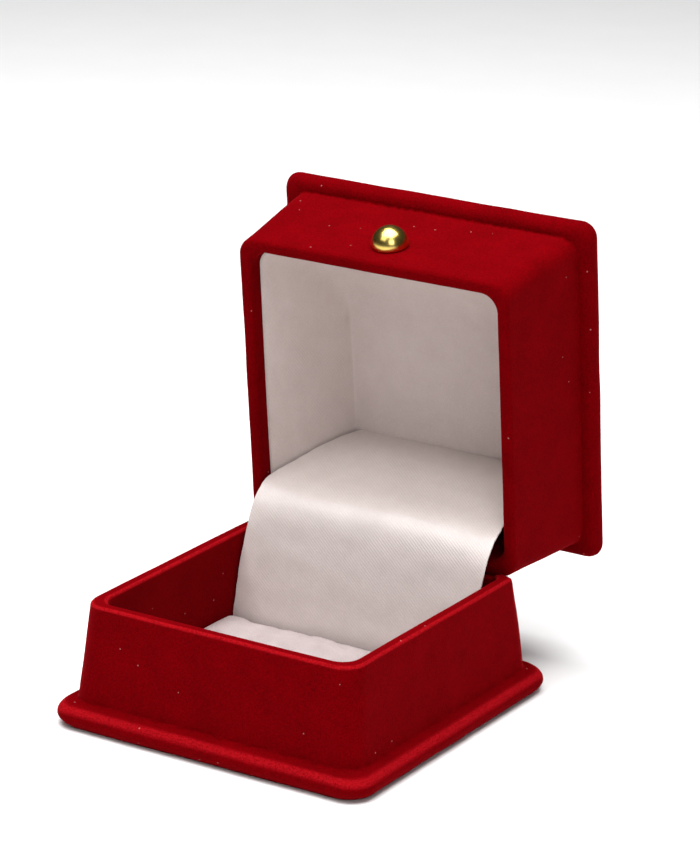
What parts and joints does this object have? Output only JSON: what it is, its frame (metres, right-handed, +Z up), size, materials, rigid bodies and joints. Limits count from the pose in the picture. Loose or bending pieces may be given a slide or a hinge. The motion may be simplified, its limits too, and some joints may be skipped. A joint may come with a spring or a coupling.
{
  "type": "ring box",
  "caption": "Small square flocked ring box with a hinged lid, a satin lining and flap, a slotted ring pad and a round stud on the lid's front.",
  "frame": {"origin": "centre of the base's flat underside", "axes": "+Z up, the box opens towards -Y (front), the hinge runs along X at the back, +X is the right-hand side seen from the front"},
  "size_m": [0.058, 0.0751, 0.0749],
  "materials": {
    "flock": "red flocked moulded plastic",
    "cover_paper": "dark red covered card",
    "white_card": "matt white card",
    "foam": "soft cream foam",
    "pad_cloth": "off-white satin over foam",
    "satin": "off-white satin weave",
    "lining": "off-white satin laminated to card",
    "brass": "stamped sheet brass",
    "gilt": "bright gilt stud",
    "steel": "bright steel wire and strip"
  },
  "bodies": {
    "base": {"base_shell": "flock", "base_plate": "cover_paper", "pad_card": "white_card", "pad_foam_front": "foam", "pad_foam_rear": "foam", "pad_cover": "pad_cloth", "hinge_leaf_base": "brass", "hinge_pin": "steel", "hinge_rivets_base": "brass", "hinge_spring": "steel", "satin_flap": "satin"},
    "lid": {"lid_shell": "flock", "lid_foam": "foam", "lid_lining_panel": "lining", "lid_lining_left": "lining", "lid_lining_right": "lining", "stud_dome": "gilt", "stud_washer": "steel", "hinge_leaf_lid": "brass", "hinge_rivets_lid": "brass"}
  },
  "joints": [
    {"name": "lid_hinge", "type": "hinge", "parent": "base", "child": "lid", "pos_m": [0, 0.0234, 0.02085], "axis": [1, 0, 0], "range_deg": [0, 84.5], "deforming": ["satin_flap"]}
  ]
}
